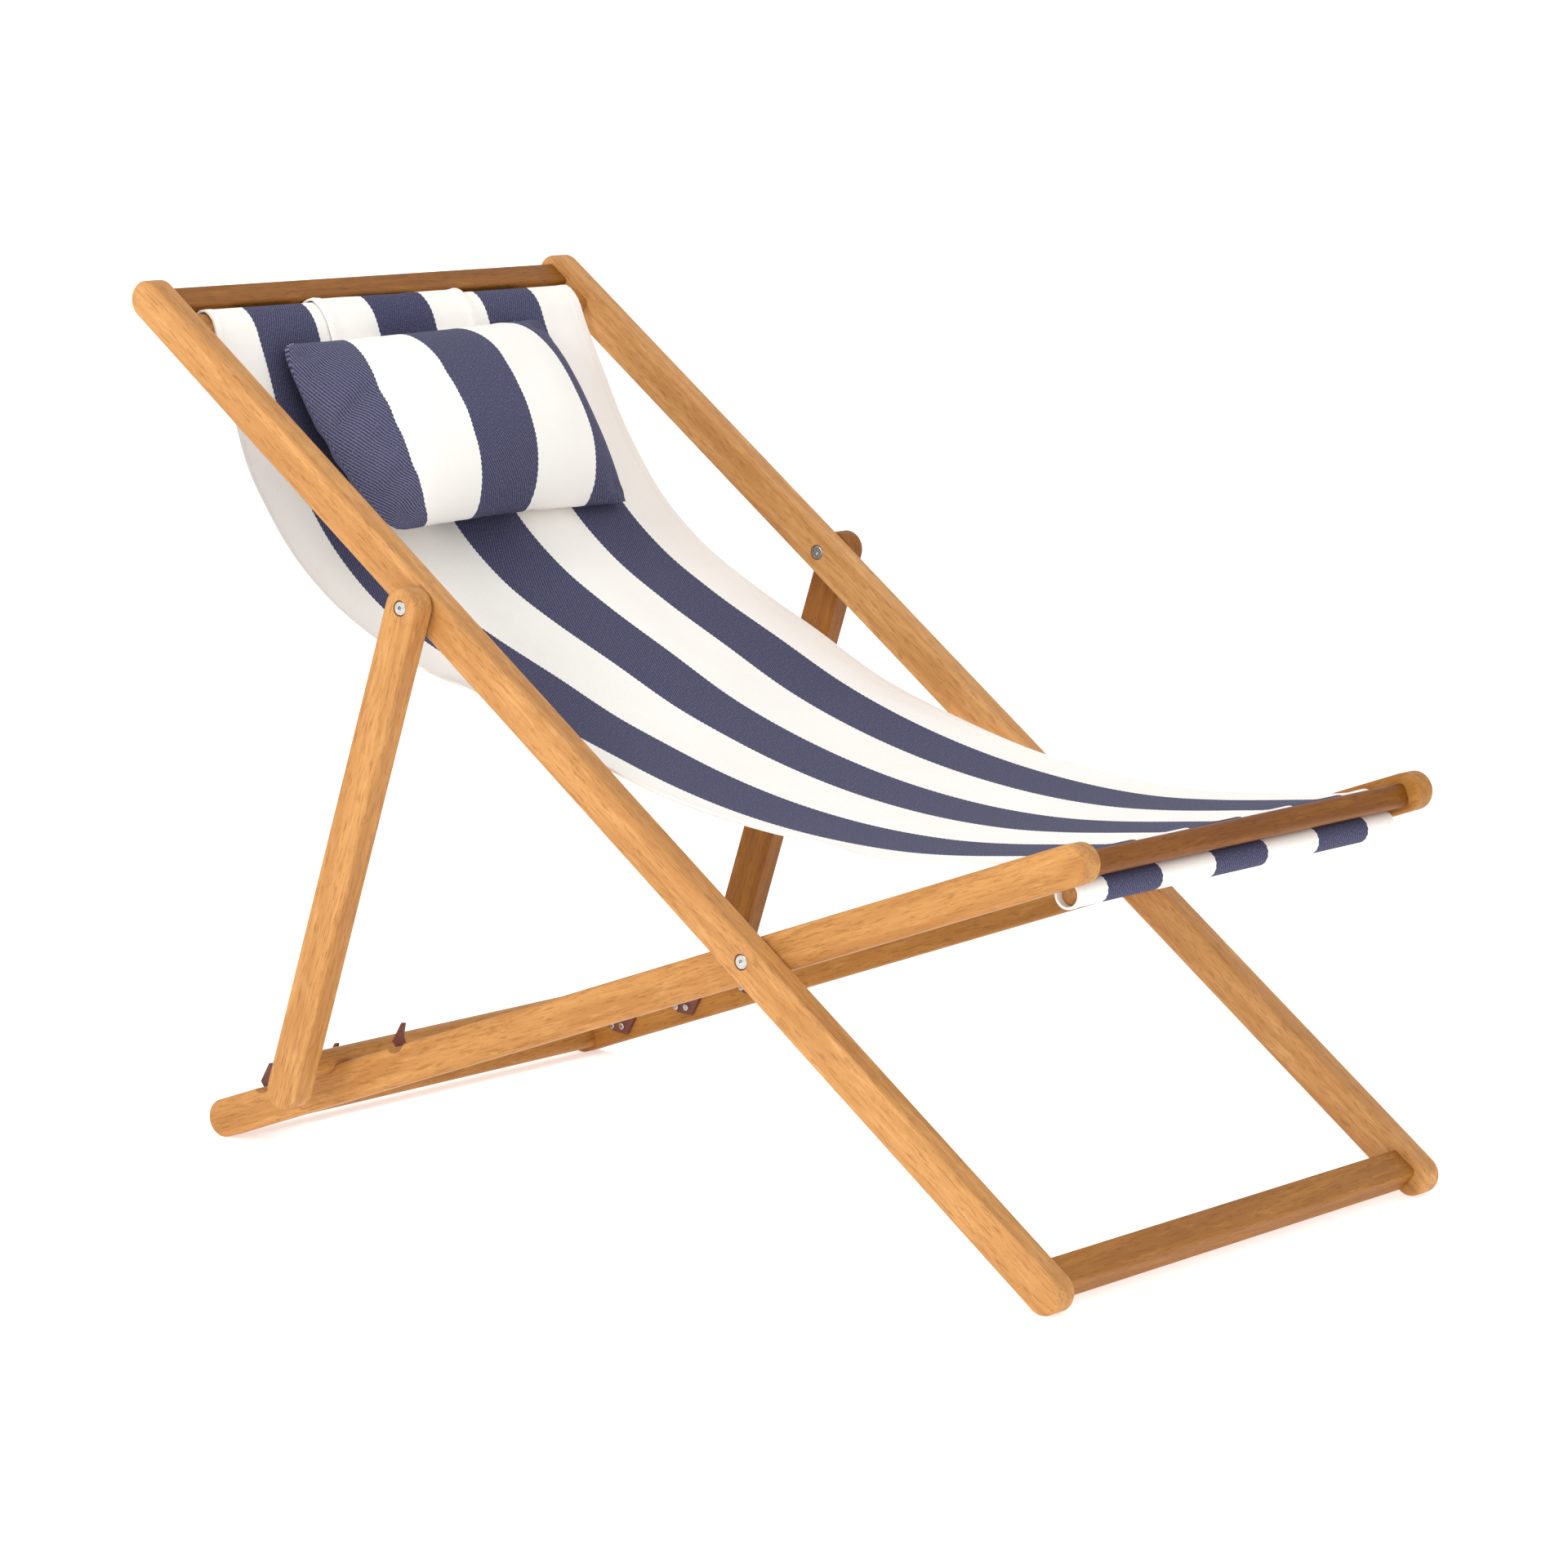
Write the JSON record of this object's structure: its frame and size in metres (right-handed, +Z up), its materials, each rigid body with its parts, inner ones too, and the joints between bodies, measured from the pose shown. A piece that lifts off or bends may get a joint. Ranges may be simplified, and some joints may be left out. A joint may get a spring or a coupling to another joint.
{
  "type": "folding deck chair",
  "caption": "Reclining teak deck chair with a hanging striped canvas sling, a head pillow, and hinged back, seat and prop frames that fold flat.",
  "frame": {"origin": "on the floor, at the centre of the chair's footprint box, with the bar in the middle notch", "axes": "+Z up, +Y towards the head end, +X towards the sitter's left"},
  "size_m": [0.647, 1.0476, 0.783],
  "materials": {
    "teak": "satin oiled",
    "stainless": "satin",
    "hook_plastic": "matte",
    "washer_nylon": "matte",
    "sling_canvas": "woven, cream and navy stripes",
    "pillow_canvas": "woven, cream and navy stripes"
  },
  "bodies": {
    "back_frame": {"back_leg_left": "teak", "back_leg_right": "teak", "head_rail": "teak", "head_sling_rail": "teak", "front_stretcher": "teak", "head_sling_dowel": "teak", "seat_pivot_bolt_left": "stainless", "seat_pivot_nut_left": "stainless", "seat_pivot_washer_left": "washer_nylon", "prop_pivot_bolt_left": "stainless", "prop_pivot_nut_left": "stainless", "prop_pivot_washer_left": "washer_nylon", "seat_pivot_bolt_right": "stainless", "seat_pivot_nut_right": "stainless", "seat_pivot_washer_right": "washer_nylon", "prop_pivot_bolt_right": "stainless", "prop_pivot_nut_right": "stainless", "prop_pivot_washer_right": "washer_nylon", "sling": "sling_canvas", "pillow": "pillow_canvas", "pillow_flap": "pillow_canvas"},
    "seat_frame": {"seat_rail_left": "teak", "seat_rail_right": "teak", "seat_front_rail": "teak", "seat_sling_rail": "teak", "rear_stretcher": "teak", "front_sling_dowel": "teak", "retaining_hook_1_left": "hook_plastic", "retaining_hook_1_right": "hook_plastic", "retaining_hook_2_left": "hook_plastic", "retaining_hook_2_right": "hook_plastic", "retaining_hook_3_left": "hook_plastic", "retaining_hook_3_right": "hook_plastic", "hook_screws": "stainless"},
    "prop_frame": {"prop_leg_left": "teak", "prop_leg_right": "teak", "prop_bar": "teak"}
  },
  "joints": [
    {"name": "seat_fold", "type": "hinge", "parent": "back_frame", "child": "seat_frame", "pos_m": [0, -0.18999, 0.25117], "axis": [-1, 0, 0], "range_deg": [0, 117], "deforming": ["sling"]},
    {"name": "prop_fold", "type": "hinge", "parent": "back_frame", "child": "prop_frame", "pos_m": [0, 0.17286, 0.51918], "axis": [-1, 0, 0], "range_deg": [0, 64.35]}
  ],
  "couplings": [
    {"joint": "prop_fold", "follows": "seat_fold", "ratio": 0.55}
  ]
}
